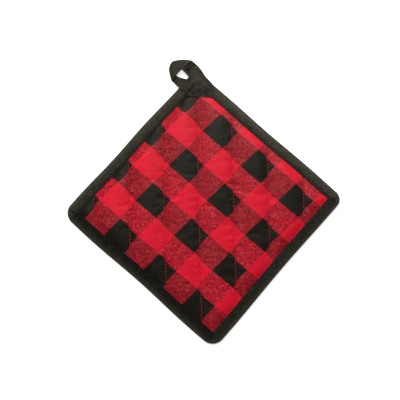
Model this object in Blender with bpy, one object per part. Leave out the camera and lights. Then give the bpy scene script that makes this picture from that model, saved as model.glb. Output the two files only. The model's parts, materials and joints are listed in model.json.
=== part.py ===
"""A square quilted pot holder with a bound edge and a hanging loop at one corner.

Three sewn pieces are modelled: the quilted pad, the folded binding round its edge, and the loop of
folded tape whose two ends are sewn down on the top corner. The pot holder lies face up on z = 0 with
the loop corner towards +Y, so its sides run at about 45 degrees. Lengths below are millimetres.
"""
import math

import bmesh
import bpy
from mathutils import Vector

MM = 0.001

# Outline of the bound square: where its sides would meet, and how far each corner is rounded.
# Columns: name, x, y, radius. The corners go clockwise, seen from above.
CORNERS = (
    ("top", 0.0, 141.7, 12.0),
    ("right", 143.4, 1.2, 10.0),
    ("bottom", 1.3, -145.2, 13.0),
    ("left", -144.8, 2.2, 12.0),
)
# Each side starts at the corner of the same row. The thread draws it in by a small wave.
# Columns: name, width of binding that shows, depth of the wave, its deepest place, its length.
SIDES = (
    ("top right", 11.4, 0.34, 98.0, 105.0),
    ("bottom right", 12.4, 0.56, 94.0, 163.0),
    ("bottom left", 13.0, 0.61, 102.0, 126.0),
    ("top left", 12.0, 0.43, 76.0, 97.0),
)
SIDE_COUNT = len(SIDES)
DRAWN_DEPTH = 45.0          # how far in from a side its wave dies out

# Quilting: straight seams up and down at one pitch, turned a little from the square's diagonal.
QUILT_PITCH = 35.6
QUILT_TURN = math.radians(-2.0)
QUILT_ORIGIN = (-4.8, 0.0)
QUILT_REACH = 4             # seams each side of the origin, enough to pass both side corners
CHANNEL_CUTS = (0.0, 1.5, 4.0, 8.5, 17.8, 27.1, 31.6, 34.1)
ROW_PITCH = 14.0            # from point to point along a channel
ROW_REACH = 10

# Heights over the table.
PUFF_TOP = 8.4
SEAM_TOP = 5.0
EDGE_TOP = 4.6
EDGE_UNDER = 1.55
RIM_TOP = 3.7
RIM_UNDER = 2.5
GROOVE_DEPTH = 1.1
GROOVE_HALF_WIDTH = 4.0
PUFF_FULLNESS = 2.6

# Where the pad's edge and slopes are, measured inwards.
RIM_INSET = 2.0
RIM_SHOULDER = 3.4
LIP_CLEARANCE = 0.35        # from the binding's fold to where the pad starts to swell
UNDER_SLOPE = 3.0
TOP_SLOPE = 14.0
SLOPE_CUTS = (UNDER_SLOPE, 8.0)

# The loop's sewn end presses the pad flat at the top corner.
PRESSED_TOP = 6.0
PRESSED_FROM_Y = 104.0
PRESSED_FULL_Y = 113.0

# Cross-section of the folded binding, from the lower lip's fold round the edge to the upper lip.
# Columns: share of the binding's visible width measured inwards, height.
BINDING_SECTION = (
    (1.00, 0.6),
    (0.97, 0.0),
    (0.16, 0.0),
    (0.04, 1.0),
    (0.00, 3.1),
    (0.04, 5.0),
    (0.16, 5.9),
    (0.50, 6.2),
    (0.97, 6.0),
    (1.00, 5.5),
    (0.97, 4.95),
    (0.25, 4.9),
    (0.14, 4.2),
    (0.12, 3.1),
    (0.14, 2.0),
    (0.25, 1.25),
    (0.97, 1.2),
)
SIDE_STATIONS = 12
CORNER_STATIONS = 6
TIGHTEST_CORNER = 0.6

# Middle surface of the loop's tape, from its sewn front end to its other end under that.
# Columns: place, left edge x, y, z, right edge x, y, z, how far the middle bows out in x and y,
# steps to the next row.
LOOP_ROWS = (
    ("front end", -14.6, 116.2, 8.8, 16.8, 111.8, 7.3, 0.0, -0.6, 2),
    ("fanned out over the corner", -9.6, 121.0, 9.2, 18.6, 120.0, 7.3, 0.0, 0.0, 2),
    ("neck", -6.0, 126.8, 9.2, 15.4, 127.0, 7.3, 0.0, 0.0, 2),
    ("leaving the corner", -6.6, 132.8, 8.8, 10.6, 132.8, 6.9, 0.0, 0.0, 3),
    ("right arm", -13.0, 140.9, 6.8, 5.2, 142.0, 5.4, 0.0, 0.0, 2),
    ("before the top fold", -19.8, 148.0, 4.5, 0.5, 147.5, 3.6, 0.0, 0.0, 2),
    ("top fold, under", -22.0, 149.8, 3.7, -1.6, 149.5, 3.5, 0.2, 0.6, 2),
    ("top fold, outermost", -23.0, 150.6, 5.1, -3.0, 150.2, 5.1, 0.3, 1.4, 2),
    ("top fold, over", -23.5, 149.9, 6.5, -4.2, 149.0, 6.7, 0.2, 0.6, 2),
    ("top left arm, upper", -24.9, 148.8, 6.5, -10.4, 144.6, 6.9, 0.0, 0.0, 2),
    ("top left arm, lower", -25.6, 147.4, 6.1, -17.2, 138.8, 6.4, 0.0, 0.0, 2),
    ("left fold, over", -26.2, 145.6, 5.5, -22.9, 132.4, 5.6, -0.3, 0.0, 2),
    ("left fold, outermost", -26.5, 144.4, 4.1, -24.2, 130.7, 4.1, -0.6, 0.0, 2),
    ("left fold, under", -25.7, 143.0, 2.7, -22.9, 129.7, 2.7, -0.3, 0.0, 2),
    ("lower arm", -19.9, 136.5, 4.1, -20.4, 126.2, 5.2, 0.0, 0.0, 3),
    ("onto the corner", -13.2, 133.0, 7.2, -15.4, 121.2, 7.5, 0.0, 0.0, 3),
    ("back end", -5.2, 131.4, 7.15, -9.4, 117.8, 7.15, 0.0, 0.0, 1),
)
TAPE_THICKNESS = 1.2
# Columns: share across the tape, share of the full thickness.
TAPE_PROFILE = ((0.0, 0.35), (0.07, 0.95), (0.5, 1.0), (0.93, 0.95), (1.0, 0.35))

# Columns: piece, linear colour, roughness.
FINISHES = {
    "quilted_pad": ((0.42, 0.010, 0.026), 0.9),
    "binding": ((0.022, 0.022, 0.018), 0.85),
    "hanging_loop": ((0.022, 0.022, 0.018), 0.85),
}


def clear_scene():
    for thing in list(bpy.data.objects):
        bpy.data.objects.remove(thing, do_unlink=True)


def finish(name, mesh):
    """Put a finished mesh in the scene as one named piece with its own cloth material."""
    colour, roughness = FINISHES[name]
    material = bpy.data.materials.new(name)
    material.use_nodes = True
    shader = material.node_tree.nodes["Principled BSDF"]
    shader.inputs["Base Color"].default_value = (*colour, 1.0)
    shader.inputs["Roughness"].default_value = roughness
    shader.inputs["Metallic"].default_value = 0.0
    mesh.materials.append(material)
    mesh.shade_smooth()
    mesh.set_sharp_from_angle(angle=math.radians(50))
    piece = bpy.data.objects.new(name, mesh)
    bpy.context.collection.objects.link(piece)
    return piece


def mesh_from(work, name):
    """Close a bmesh in millimetres into a mesh in metres whose faces point out."""
    bmesh.ops.recalc_face_normals(work, faces=work.faces)
    bmesh.ops.scale(work, vec=Vector((MM, MM, MM)), verts=work.verts)
    mesh = bpy.data.meshes.new(name)
    work.to_mesh(mesh)
    work.free()
    return mesh


# The outline

class Side:
    """One straight side of the square before the thread draws it in."""

    def __init__(self, index):
        _, x, y, _ = CORNERS[index]
        _, next_x, next_y, _ = CORNERS[(index + 1) % SIDE_COUNT]
        _, self.width, self.wave, self.deepest, self.wave_length = SIDES[index]
        self.start = Vector((x, y))
        self.run = Vector((next_x, next_y)) - self.start
        self.length = self.run.length
        self.run.normalize()
        self.inward = Vector((self.run.y, -self.run.x))

    def depth(self, point):
        return (point - self.start).dot(self.inward)

    def draw_in(self, point):
        """How far the thread pulls a point away from this side."""
        along = (point - self.start).dot(self.run)
        fade = max(0.0, 1.0 - max(0.0, self.depth(point)) / DRAWN_DEPTH)
        turn = 2 * math.pi * (along - self.deepest) / self.wave_length
        return self.inward * (self.wave * math.cos(turn) * fade)


OUTLINE = [Side(index) for index in range(SIDE_COUNT)]


def drawn(point):
    """A point of the true square, moved to where the thread draws it."""
    point = Vector(point)
    moved = point.copy()
    for side in OUTLINE:
        moved += side.draw_in(point)
    return moved


def crossing(first, first_depth, second, second_depth):
    """Where two sides meet once each is moved in by its own depth."""
    a = first.start + first.inward * first_depth
    b = second.start + second.inward * second_depth
    gap = b - a
    bottom = first.run.x * second.run.y - first.run.y * second.run.x
    along = (gap.x * second.run.y - gap.y * second.run.x) / bottom
    return a + first.run * along


def corner_arc(index, depth_before, depth_after):
    """Points round one corner of the outline, moved in by a depth on each side of it."""
    before = OUTLINE[index - 1]
    after = OUTLINE[index]
    radius = max(CORNERS[index][3] - 0.5 * (depth_before + depth_after), TIGHTEST_CORNER)
    centre = crossing(before, depth_before + radius, after, depth_after + radius)
    start = math.atan2(-before.inward.y, -before.inward.x)
    end = math.atan2(-after.inward.y, -after.inward.x)
    if end > start:
        end -= 2 * math.pi
    arc = []
    for step in range(CORNER_STATIONS + 1):
        turn = start + (end - start) * step / CORNER_STATIONS
        arc.append(centre + radius * Vector((math.cos(turn), math.sin(turn))))
    return arc


def ring(depths, stations):
    """The closed outline moved in by one depth for each side, with stations along each side."""
    points = []
    for index in range(SIDE_COUNT):
        after = (index + 1) % SIDE_COUNT
        arc = corner_arc(index, depths[index - 1], depths[index])
        next_arc = corner_arc(after, depths[index], depths[after])
        points += arc
        for step in range(1, stations):
            points.append(arc[-1].lerp(next_arc[0], step / stations))
    return points


# The quilted pad

def beyond_lip(point):
    """How far inside the binding's folded edge a point lies; negative under the binding."""
    return min(side.depth(point) - side.width for side in OUTLINE)


def inset(point):
    """How far inside the rounded outline a point lies."""
    nearest = min(side.depth(point) for side in OUTLINE)
    for index in range(SIDE_COUNT):
        radius = CORNERS[index][3]
        before = radius - OUTLINE[index - 1].depth(point)
        after = radius - OUTLINE[index].depth(point)
        if before > 0 and after > 0:
            nearest = min(nearest, radius - math.hypot(before, after))
    return nearest


def quilt_axes():
    """Directions across the seams and along them."""
    across = Vector((math.cos(QUILT_TURN), math.sin(QUILT_TURN)))
    return across, Vector((-across.y, across.x))


def seam_distance(point):
    """Distance from a point to the nearest quilting seam."""
    across, _ = quilt_axes()
    channels = (point - Vector(QUILT_ORIGIN)).dot(across) / QUILT_PITCH
    return abs(channels - round(channels)) * QUILT_PITCH


def swell(distance, reach, fullness):
    """Height share of a filled cloth that is held down at distance 0 and free at its reach."""
    share = min(max(distance / reach, 0.0), 1.0)
    return 1.0 - (1.0 - share) ** fullness


def top_height(point):
    puff = swell(seam_distance(point), QUILT_PITCH / 2, PUFF_FULLNESS)
    free = SEAM_TOP + (PUFF_TOP - SEAM_TOP) * puff
    rise = swell(beyond_lip(point) - LIP_CLEARANCE, TOP_SLOPE, PUFF_FULLNESS)
    height = EDGE_TOP + (free - EDGE_TOP) * rise
    pressed = min(max((point.y - PRESSED_FROM_Y) / (PRESSED_FULL_Y - PRESSED_FROM_Y), 0.0), 1.0)
    height = min(height, PUFF_TOP + (PRESSED_TOP - PUFF_TOP) * pressed)
    shoulder = min(max((inset(point) - RIM_INSET) / (RIM_SHOULDER - RIM_INSET), 0.0), 1.0)
    return RIM_TOP + (height - RIM_TOP) * shoulder


def under_height(point):
    groove = GROOVE_DEPTH * (1.0 - min(seam_distance(point) / GROOVE_HALF_WIDTH, 1.0)) ** 2
    fall = (beyond_lip(point) - LIP_CLEARANCE) / (UNDER_SLOPE - LIP_CLEARANCE)
    fall = min(max(fall, 0.0), 1.0)
    height = EDGE_UNDER + (groove - EDGE_UNDER) * fall
    shoulder = min(max((inset(point) - RIM_INSET) / (RIM_SHOULDER - RIM_INSET), 0.0), 1.0)
    return RIM_UNDER + (height - RIM_UNDER) * shoulder


def cut(work, faces, point, normal, clear_outside=False):
    """Cut faces along the upright plane through a point."""
    edges = {edge for face in faces for edge in face.edges}
    verts = {vert for face in faces for vert in face.verts}
    bmesh.ops.bisect_plane(
        work,
        geom=list(faces) + list(edges) + list(verts),
        dist=1e-5,
        plane_co=Vector((point.x, point.y, 0.0)),
        plane_no=Vector((normal.x, normal.y, 0.0)),
        clear_outer=clear_outside,
    )


def cut_round(work, depth, clear_outside):
    """Cut the sheet along the rounded outline moved in by one depth."""
    points = ring([depth] * SIDE_COUNT, 1)
    for start, end in zip(points, points[1:] + points[:1]):
        run = end - start
        outward = Vector((-run.y, run.x))
        cut(work, work.faces[:], start, outward, clear_outside)


def quilted_faces(work):
    """Faces inside the binding's folded edge."""
    found = []
    for face in work.faces:
        centre = face.calc_center_median()
        if beyond_lip(Vector((centre.x, centre.y))) > LIP_CLEARANCE:
            found.append(face)
    return found


def rim_faces(work, side):
    """Faces between one side and the binding's folded edge along it."""
    found = []
    for face in work.faces:
        centre = face.calc_center_median()
        depth = side.depth(Vector((centre.x, centre.y)))
        if depth < side.width + LIP_CLEARANCE:
            found.append(face)
    return found


def make_pad():
    work = bmesh.new()
    bmesh.ops.create_grid(work, x_segments=1, y_segments=1, size=200.0)
    cut_round(work, RIM_INSET, True)
    cut_round(work, RIM_SHOULDER, False)
    for side in OUTLINE:
        fold = side.start + side.inward * (side.width + LIP_CLEARANCE)
        cut(work, work.faces[:], fold, side.inward)
    for side in OUTLINE:
        for step in range(1, SIDE_STATIONS):
            station = side.start + side.run * side.length * step / SIDE_STATIONS
            cut(work, rim_faces(work, side), station, side.run)
    for depth in SLOPE_CUTS:
        for side in OUTLINE:
            slope = side.start + side.inward * (side.width + depth)
            cut(work, quilted_faces(work), slope, side.inward)
    across, along = quilt_axes()
    for seam in range(-QUILT_REACH, QUILT_REACH + 1):
        for offset in CHANNEL_CUTS:
            place = Vector(QUILT_ORIGIN) + across * (seam * QUILT_PITCH + offset)
            cut(work, quilted_faces(work), place, across)
    for row in range(-ROW_REACH, ROW_REACH + 1):
        place = Vector(QUILT_ORIGIN) + along * (row * ROW_PITCH)
        cut(work, quilted_faces(work), place, along)
    under = work.verts[:]
    raised = bmesh.ops.extrude_face_region(work, geom=work.faces[:], use_keep_orig=True)
    top = [item for item in raised["geom"] if isinstance(item, bmesh.types.BMVert)]
    for verts, height in ((under, under_height), (top, top_height)):
        for vert in verts:
            flat = Vector((vert.co.x, vert.co.y))
            moved = drawn(flat)
            vert.co = Vector((moved.x, moved.y, height(flat)))
    return finish("quilted_pad", mesh_from(work, "quilted_pad"))


# The binding

def make_binding():
    work = bmesh.new()
    loops = []
    for share, height in BINDING_SECTION:
        points = ring([side.width * share for side in OUTLINE], SIDE_STATIONS)
        loop = []
        for point in points:
            moved = drawn(point)
            loop.append(work.verts.new((moved.x, moved.y, height)))
        loops.append(loop)
    count = len(loops[0])
    for loop, following in zip(loops, loops[1:] + loops[:1]):
        for place in range(count):
            after = (place + 1) % count
            work.faces.new((loop[place], loop[after], following[after], following[place]))
    return finish("binding", mesh_from(work, "binding"))


# The hanging loop

def smooth_between(before, start, end, after, share):
    """A point on the smooth curve through four points in turn."""
    square = share * share
    cube = square * share
    return 0.5 * (
        2 * start
        + (end - before) * share
        + (2 * before - 5 * start + 4 * end - after) * square
        + (3 * start - before - 3 * end + after) * cube
    )


def tape_stations():
    """Left edge, right edge and bow of the tape's middle surface, station by station."""
    left = [Vector(row[1:4]) for row in LOOP_ROWS]
    right = [Vector(row[4:7]) for row in LOOP_ROWS]
    bow = [Vector((row[7], row[8], 0.0)) for row in LOOP_ROWS]
    lines = (left, right, bow)
    stations = []
    last = len(LOOP_ROWS) - 1
    for index in range(last):
        steps = LOOP_ROWS[index][9]
        places = (max(index - 1, 0), index, index + 1, min(index + 2, last))
        for step in range(steps):
            share = step / steps
            stations.append(tuple(
                smooth_between(*(line[place] for place in places), share) for line in lines
            ))
    stations.append(tuple(line[last] for line in lines))
    return stations


def across_tape(left, right, bow, across):
    """A point of the tape's middle surface at a share of the way across it."""
    return left.lerp(right, across) + bow * (4 * across * (1 - across))


def make_loop():
    middle = []
    for station in tape_stations():
        middle.append([across_tape(*station, across) for across, _ in TAPE_PROFILE])
    work = bmesh.new()
    skins = {1: [], -1: []}
    last_row = len(middle) - 1
    last_column = len(TAPE_PROFILE) - 1
    for row, points in enumerate(middle):
        for side in skins:
            skins[side].append([])
        for column, point in enumerate(points):
            along = middle[min(row + 1, last_row)][column] - middle[max(row - 1, 0)][column]
            across = points[min(column + 1, last_column)] - points[max(column - 1, 0)]
            normal = across.cross(along).normalized()
            half = 0.5 * TAPE_THICKNESS * TAPE_PROFILE[column][1]
            for side in skins:
                skins[side][row].append(work.verts.new(point + normal * half * side))
    for side, skin in skins.items():
        for row in range(last_row):
            for column in range(last_column):
                work.faces.new((
                    skin[row][column],
                    skin[row][column + 1],
                    skin[row + 1][column + 1],
                    skin[row + 1][column],
                ))
    over = skins[1]
    below = skins[-1]
    for row in range(last_row):
        for column in (0, last_column):
            work.faces.new((
                over[row][column],
                over[row + 1][column],
                below[row + 1][column],
                below[row][column],
            ))
    for row in (0, last_row):
        for column in range(last_column):
            work.faces.new((
                over[row][column],
                over[row][column + 1],
                below[row][column + 1],
                below[row][column],
            ))
    return finish("hanging_loop", mesh_from(work, "hanging_loop"))


def main():
    clear_scene()
    make_pad()
    make_binding()
    make_loop()


main()
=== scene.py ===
import json
import math

import bmesh
import bpy
from bpy.props import FloatProperty, FloatVectorProperty, IntProperty, PointerProperty
from mathutils import Matrix, Vector, noise

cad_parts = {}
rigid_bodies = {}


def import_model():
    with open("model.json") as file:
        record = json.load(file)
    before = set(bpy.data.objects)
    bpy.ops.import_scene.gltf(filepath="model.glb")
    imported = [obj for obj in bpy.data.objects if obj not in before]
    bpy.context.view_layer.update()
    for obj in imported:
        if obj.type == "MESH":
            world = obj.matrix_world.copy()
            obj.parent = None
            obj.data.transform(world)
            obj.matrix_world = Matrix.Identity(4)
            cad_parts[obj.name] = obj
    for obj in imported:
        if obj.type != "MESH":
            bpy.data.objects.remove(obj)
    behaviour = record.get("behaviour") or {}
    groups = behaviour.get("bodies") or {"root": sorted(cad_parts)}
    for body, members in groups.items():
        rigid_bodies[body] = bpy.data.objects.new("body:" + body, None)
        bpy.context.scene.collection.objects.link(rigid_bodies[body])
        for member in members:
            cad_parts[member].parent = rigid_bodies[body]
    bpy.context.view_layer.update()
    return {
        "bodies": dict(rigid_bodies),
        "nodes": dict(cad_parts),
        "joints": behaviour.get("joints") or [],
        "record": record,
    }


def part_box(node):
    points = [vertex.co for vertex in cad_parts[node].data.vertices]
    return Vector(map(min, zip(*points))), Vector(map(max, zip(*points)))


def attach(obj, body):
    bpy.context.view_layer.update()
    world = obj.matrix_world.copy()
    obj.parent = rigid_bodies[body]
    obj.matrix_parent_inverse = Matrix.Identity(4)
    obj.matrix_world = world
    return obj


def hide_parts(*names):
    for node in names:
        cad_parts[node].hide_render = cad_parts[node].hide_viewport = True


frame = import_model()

bl_info = {
    "name": "Quilted pot holder",
    "version": (1, 0, 0),
    "blender": (4, 5, 0),
    "location": "3D View > Sidebar > Pot holder",
    "description": "Cloth, thread and stage of a quilted square pot holder with a hanging loop",
    "category": "Object",
}

MM = 0.001
PAD_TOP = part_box("quilted_pad")[1][2]

# The pot holder's plan. All lengths in these tables are millimetres, and the corners go clockwise.
# Columns: name, x and y where the sides would meet, radius that rounds the corner, share of the full
# depth that its mitre has.
CORNERS = (
    ("top", 0.0, 141.7, 12.0, 0.0),
    ("right", 143.4, 1.2, 10.0, 0.8),
    ("bottom", 1.3, -145.2, 13.0, 0.6),
    ("left", -144.8, 2.2, 12.0, 0.35),
)
# Each side starts at the corner of the same row. The thread draws it in by a small wave.
# Columns: name, width of binding that shows, depth of the wave, its deepest place, its length, how
# much the puffs beside it keep light from its inner edge.
SIDES = (
    ("top right", 11.4, 0.34, 98.0, 105.0, 0.0),
    ("bottom right", 12.4, 0.56, 94.0, 163.0, 0.35),
    ("bottom left", 13.0, 0.61, 102.0, 126.0, 0.8),
    ("top left", 12.0, 0.43, 76.0, 97.0, 0.1),
)
SIDE_COUNT = len(SIDES)
DRAWN_DEPTH = 45.0
TIGHTEST_CORNER = 0.6

# The check. One repeat is a coloured stripe and a black one, in each direction of the cloth.
# Columns: direction, repeats at the middle, repeats per mm along x, along y, and what the cloth's
# stretch adds for x squared, x times y and y squared, with x and y in units of STRETCH_UNIT.
STRIPES = (
    ("warp", 0.548, 0.012995, -0.013910, -0.0021, -0.0567, -0.0228),
    ("weft", 0.163, -0.014718, -0.014094, 0.0002, -0.0256, 0.0059),
)
STRETCH_UNIT = 102.0
STRIPE_SHARE = 0.505
YARNS_PER_REPEAT = 112
KNOT_YARNS = 2.7
LINT_YARNS = 2.9

# The loop's tape, from its sewn front end to its other end under that.
# Columns: place, left edge x, y, z, right edge x, y, z, how far the middle bows out in x and y,
# steps to the next row.
LOOP_ROWS = (
    ("front end", -14.6, 116.2, 8.8, 16.8, 111.8, 7.3, 0.0, -0.6, 2),
    ("fanned out over the corner", -9.6, 121.0, 9.2, 18.6, 120.0, 7.3, 0.0, 0.0, 2),
    ("neck", -6.0, 126.8, 9.2, 15.4, 127.0, 7.3, 0.0, 0.0, 2),
    ("leaving the corner", -6.6, 132.8, 8.8, 10.6, 132.8, 6.9, 0.0, 0.0, 3),
    ("right arm", -13.0, 140.9, 6.8, 5.2, 142.0, 5.4, 0.0, 0.0, 2),
    ("before the top fold", -19.8, 148.0, 4.5, 0.5, 147.5, 3.6, 0.0, 0.0, 2),
    ("top fold, under", -22.0, 149.8, 3.7, -1.6, 149.5, 3.5, 0.2, 0.6, 2),
    ("top fold, outermost", -23.0, 150.6, 5.1, -3.0, 150.2, 5.1, 0.3, 1.4, 2),
    ("top fold, over", -23.5, 149.9, 6.5, -4.2, 149.0, 6.7, 0.2, 0.6, 2),
    ("top left arm, upper", -24.9, 148.8, 6.5, -10.4, 144.6, 6.9, 0.0, 0.0, 2),
    ("top left arm, lower", -25.6, 147.4, 6.1, -17.2, 138.8, 6.4, 0.0, 0.0, 2),
    ("left fold, over", -26.2, 145.6, 5.5, -22.9, 132.4, 5.6, -0.3, 0.0, 2),
    ("left fold, outermost", -26.5, 144.4, 4.1, -24.2, 130.7, 4.1, -0.6, 0.0, 2),
    ("left fold, under", -25.7, 143.0, 2.7, -22.9, 129.7, 2.7, -0.3, 0.0, 2),
    ("lower arm", -19.9, 136.5, 4.1, -20.4, 126.2, 5.2, 0.0, 0.0, 3),
    ("onto the corner", -13.2, 133.0, 7.2, -15.4, 121.2, 7.5, 0.0, 0.0, 3),
    ("back end", -5.2, 131.4, 7.15, -9.4, 117.8, 7.15, 0.0, 0.0, 1),
)
LOOP_STEP_SPLIT = 5
# Ridges and hollows where the loop's end is pressed down on the corner.
# Columns: name, start x, y, end x, y, height (below zero for a hollow), half width.
TAPE_CREASES = (
    ("left ridge, upper", 2.6, 129.8, -5.1, 124.9, 0.5, 1.3),
    ("left ridge, lower", -5.1, 124.9, -11.0, 118.6, 0.7, 1.3),
    ("right ridge, upper", 3.6, 129.4, 6.4, 124.0, 0.6, 1.1),
    ("right ridge, lower", 6.4, 124.0, 10.4, 116.0, 0.5, 1.2),
    ("hollow between", 1.0, 123.5, 0.5, 116.5, -0.12, 3.0),
    ("hollow right", 11.5, 127.0, 14.8, 117.0, -0.12, 2.0),
    ("hollow under the top fold", -1.0, 146.0, -8.6, 141.7, -0.8, 2.1),
    ("hollow beside the hole", -8.6, 142.3, -4.6, 134.6, -0.45, 1.5),
)
CREASED_TRAVEL = 40.0
# The tape's right part is sewn flat to the binding: how far it comes down, from which share across.
SEWN_DROP = 1.1
SEWN_FROM = 0.62
SEWN_TRAVEL = 26.0
# Both ends go down to the cloth over a travel: heights of the tape's middle at the back end, and at
# the left and right of the front end, which lies over the back end up to some share across.
SEWN_BACK = 6.75
SEWN_LEFT = 7.5
SEWN_RIGHT = 6.65
SEWN_END = 10.0
BACK_END_SHARE = 0.2
BACK_END_FADE = 0.25
# Where along the tape the folded arm lies that is palest, as painted light on the layer on top,
# and how far that reaches.
TOP_ARM_TRAVEL = 51.0
TOP_ARM_REACH = 11.0
# How pale that arm is painted there, and how much more at its hems: partly wear, partly painted
# sheen.
TOP_ARM_PAINTED_LIGHT = 0.3
HEM_WEAR_AND_SHEEN = 0.5
# Hollows deeper than this are in the shade, more so for each millimetre of depth.
SHADED_BELOW = -0.2
HOLLOW_SHADE = 1.1
# The cloth's own unevenness. Columns: height, length.
CRUMPLES = ((0.28, 4.5), (0.16, 2.0))
TAPE_WIDTH = 18.5
# Columns: share across the tape, share of the full thickness. Its two hems are thicker.
TAPE_PROFILE = (
    (0.0, 0.35), (0.03, 0.85), (0.08, 1.0), (0.14, 0.98), (0.19, 0.78), (0.26, 0.82),
    (0.38, 0.86), (0.5, 0.88), (0.62, 0.86), (0.74, 0.82), (0.81, 0.78), (0.86, 0.98),
    (0.92, 1.0), (0.97, 0.85), (1.0, 0.35),
)

# The binding's section, from the lower lip's fold round the edge to the upper lip and back inside.
# Columns: share of the visible width measured inwards, height, share of the top's relief it takes.
BINDING_SECTION = (
    (1.00, 0.6, 0.0), (0.97, 0.05, 0.0), (0.80, 0.0, 0.0), (0.45, 0.0, 0.0),
    (0.16, 0.0, 0.0), (0.075, 0.4, 0.0), (0.03, 1.0, 0.2), (0.006, 1.9, 0.4),
    (0.00, 2.8, 0.5), (0.012, 3.6, 0.6), (0.04, 4.3, 0.7), (0.085, 4.85, 0.8),
    (0.14, 5.2, 0.9), (0.20, 5.45, 1.0), (0.27, 5.66, 1.0), (0.34, 5.83, 1.0),
    (0.41, 5.96, 1.0), (0.48, 6.06, 1.0), (0.55, 6.14, 1.0), (0.62, 6.2, 1.0),
    (0.68, 6.24, 1.0), (0.74, 6.26, 1.0), (0.79, 6.25, 1.0), (0.845, 6.22, 1.0),
    (0.89, 6.12, 1.0), (0.94, 5.9, 1.0), (0.98, 5.55, 0.8), (1.00, 5.2, 0.5),
    (0.98, 5.0, 0.3), (0.60, 4.9, 0.0), (0.25, 4.2, 0.0), (0.14, 3.6, 0.0),
    (0.12, 2.9, 0.0), (0.14, 2.0, 0.0), (0.25, 1.25, 0.0), (0.97, 1.2, 0.0),
)
STITCH_LINE_SHARE = 0.845
STITCH_LINE_HEIGHT = 6.28
# The width by which shares across the strip become lengths of cloth.
MEAN_WIDTH = 12.0
# The cloth's length and width at the faces that close the strip's ring and its section.
CLOSING_STEP = 1.5
CLOSING_FOLD = 0.6
# How pale the strip is at its outer fold, partly wear and partly painted sheen where the fold turns
# to the bright room, and how far in from a folded edge black cloth is paler, as a share of the strip
# or the tape.
FOLD_WEAR_AND_SHEEN = 1.6
FOLD_WEAR_AND_SHEEN_SHARE = 0.34
HEM_WEAR_AND_SHEEN_SHARE = 0.13


# Sizes and colours that a user would change


def length_property(name, description, millimetres):
    """A length in metres with a default given in millimetres."""
    return FloatProperty(
        name=name, description=description, default=millimetres * MM, min=0.0,
        precision=5, subtype="DISTANCE", unit="LENGTH",
    )


def angle_property(name, description, degrees):
    """An angle with a default given in degrees."""
    return FloatProperty(
        name=name, description=description, default=math.radians(degrees), subtype="ANGLE",
        unit="ROTATION",
    )


def power_property(name, description, watts):
    return FloatProperty(
        name=name, description=description, default=watts, min=0.0, subtype="POWER", unit="POWER",
    )


def colour_property(name, description, colour):
    return FloatVectorProperty(
        name=name, description=description, default=colour, size=3, min=0.0, max=1.0,
        subtype="COLOR",
    )


class PadSizes(bpy.types.PropertyGroup):
    """Sizes of the quilted pad."""

    puff_top: length_property(
        "Puff height", "Highest point of a quilted channel over the table", PAD_TOP / MM,
    )
    seam_top: length_property("Seam height", "Height of the face where a seam holds it", 5.0)
    seam_pitch: length_property("Seam pitch", "From one quilting seam to the next", 35.6)
    seam_turn: angle_property("Seam lean", "Turn of the seams from the square's diagonal", -2.0)
    row_step: length_property("Row step", "From point to point along a channel", 2.2)
    crease_depth: length_property("Crease depth", "Relief of the creases beside a seam", 0.5)
    crease_length: length_property("Crease length", "From crease to crease along a seam", 4.2)
    sag: length_property("Unevenness", "How much the filling's height varies", 0.45)


class ThreadSizes(bpy.types.PropertyGroup):
    """Sizes of the stitches."""

    quilt_pitch: length_property("Quilting stitch", "From one quilting stitch to the next", 3.45)
    quilt_length: length_property("Quilting thread shown", "Visible length of a stitch", 2.1)
    edge_pitch: length_property("Edge stitch", "From one edge stitch to the next", 2.9)
    edge_length: length_property("Edge thread shown", "Visible length of an edge stitch", 2.2)
    thickness: length_property("Thread thickness", "Across the thread", 0.5)


class LoopSizes(bpy.types.PropertyGroup):
    """Sizes of the binding and the loop."""

    tape_thickness: length_property("Tape thickness", "Full thickness of the loop's tape", 1.2)
    side_stations: IntProperty(
        name="Side stations", description="Rows of points along each side of the binding",
        default=120, min=12, max=400,
    )
    corner_stations: IntProperty(
        name="Corner stations", description="Rows of points round each corner of the binding",
        default=20, min=4, max=60,
    )
    wave_depth: length_property("Wave depth", "Relief of the waves on the binding", 0.32)
    mitre_depth: length_property("Mitre depth", "Relief of the folded corners", 0.7)


class ClothColours(bpy.types.PropertyGroup):
    """Colours of the cloth and the thread."""

    red: colour_property("Red yarn", "Red yarn of the check", (0.535, 0.003, 0.0205))
    black: colour_property("Black yarn", "Black yarn of the check", (0.0040, 0.0037, 0.0024))
    tape: colour_property("Black tape", "Cloth of the binding and the loop", (0.0064, 0.0060, 0.0040))
    quilt_thread: colour_property("Quilting thread", "Red thread", (0.50, 0.014, 0.030))
    edge_thread: colour_property("Edge thread", "Black thread", (0.008, 0.0075, 0.006))


class StageSettings(bpy.types.PropertyGroup):
    """Camera, light and floor."""

    view_width: length_property("View width", "Width of the table that the picture shows", 408.0)
    camera_height: length_property("Camera height", "Camera over the table", 1300.0)
    camera_turn: angle_property(
        "Camera turn", "Turn of the picture round the view direction", -3.5,
    )
    key_power: power_property("Key power", "Power of the soft light at the top left", 60.0)
    gloss_power: power_property("Gloss power", "Power of the near light that only glosses", 2.0)
    sky_strength: FloatProperty(
        name="Sky strength", description="Strength of the even light", default=0.15, min=0.0,
    )


# The outline


def hump(off, width):
    """A smooth hump: 1 at its middle, and fading away over a width."""
    return math.exp(-((off / width) ** 2))


def ripple(x, y, z):
    """Smooth noise between about -1 and 1."""
    return noise.noise(Vector((x, y, z)))


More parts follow.
